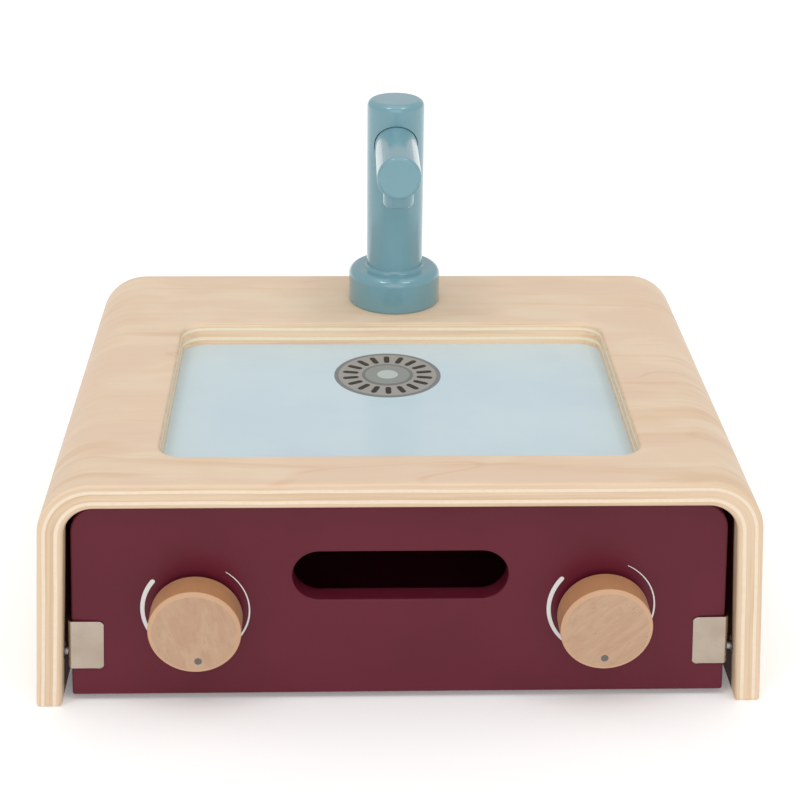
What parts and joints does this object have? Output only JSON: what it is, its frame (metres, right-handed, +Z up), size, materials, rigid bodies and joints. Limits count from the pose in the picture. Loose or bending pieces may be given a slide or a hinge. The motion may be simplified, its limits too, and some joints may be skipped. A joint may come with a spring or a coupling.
{
  "type": "toy kitchen",
  "caption": "Table-top toy kitchen: bent plywood shell over a flat sink board, tilting front flap with turned knobs and a finger slot, swivelling tap.",
  "frame": {"origin": "centre of the whole toy's footprint on the table, knobs included", "axes": "+Z up, +X to the right as a player faces the front, +Y from the front towards the back"},
  "size_m": [0.314, 0.2484, 0.2117],
  "materials": {
    "plywood": "clear matt lacquer on birch plywood",
    "sink_paint": "pale blue satin paint on fibreboard",
    "burgundy_paint": "burgundy satin paint on fibreboard",
    "teal_paint": "teal-blue gloss paint on turned wood",
    "beech": "clear matt lacquer on turned beech",
    "softwood": "bare planed pine",
    "nickel": "satin nickel plate",
    "steel": "zinc-plated steel",
    "brass": "plain brass",
    "nylon": "natural nylon"
  },
  "bodies": {
    "root": {"plywood_shell": "plywood", "sink_board": "sink_paint", "back_panel": "burgundy_paint", "tap_collar": "teal_paint", "tap_bush": "nylon", "board_screw_1": "steel", "board_screw_2": "steel", "board_screw_3": "steel", "board_screw_4": "steel", "board_screw_5": "steel", "board_screw_6": "steel", "pivot_bush_left": "nylon", "back_cleat_left": "softwood", "back_screw_left_1": "steel", "back_screw_left_2": "steel", "pivot_bush_right": "nylon", "back_cleat_right": "softwood", "back_screw_right_1": "steel", "back_screw_right_2": "steel", "bottom_board": "burgundy_paint", "bottom_cleat_left": "softwood", "bottom_screw_left_1": "steel", "bottom_screw_left_2": "steel", "bottom_cleat_right": "softwood", "bottom_screw_right_1": "steel", "bottom_screw_right_2": "steel"},
    "front_flap": {"front_panel": "burgundy_paint", "pivot_clip_left": "nickel", "pivot_pin_left": "steel", "knob_spacer_left": "nylon", "knob_washer_left": "steel", "clip_screw_left_1": "steel", "clip_screw_left_2": "steel", "pivot_clip_right": "nickel", "pivot_pin_right": "steel", "knob_spacer_right": "nylon", "knob_washer_right": "steel", "clip_screw_right_1": "steel", "clip_screw_right_2": "steel"},
    "knob_left": {"knob_left": "beech", "knob_insert_left": "brass", "knob_bolt_left": "steel"},
    "knob_right": {"knob_right": "beech", "knob_insert_right": "brass", "knob_bolt_right": "steel"},
    "tap": {"tap_column": "teal_paint", "tap_spout": "teal_paint", "tap_nozzle": "teal_paint", "tap_insert": "brass", "tap_bolt": "steel", "tap_washer": "steel"}
  },
  "joints": [
    {"name": "flap_hinge", "type": "hinge", "parent": "root", "child": "front_flap", "pos_m": [-0.0004, -0.10265, 0.023], "axis": [1, 0, 0], "range_deg": [0, 80]},
    {"name": "knob_left_turn", "type": "hinge", "parent": "front_flap", "child": "knob_left", "pos_m": [-0.0866, -0.11, 0.0441], "axis": [0, 1, 0], "continuous": true},
    {"name": "knob_right_turn", "type": "hinge", "parent": "front_flap", "child": "knob_right", "pos_m": [0.0858, -0.11, 0.0441], "axis": [0, 1, 0], "continuous": true},
    {"name": "tap_swivel", "type": "hinge", "parent": "root", "child": "tap", "pos_m": [0.002, 0.09215, 0.1075], "axis": [0, 0, 1], "continuous": true}
  ]
}
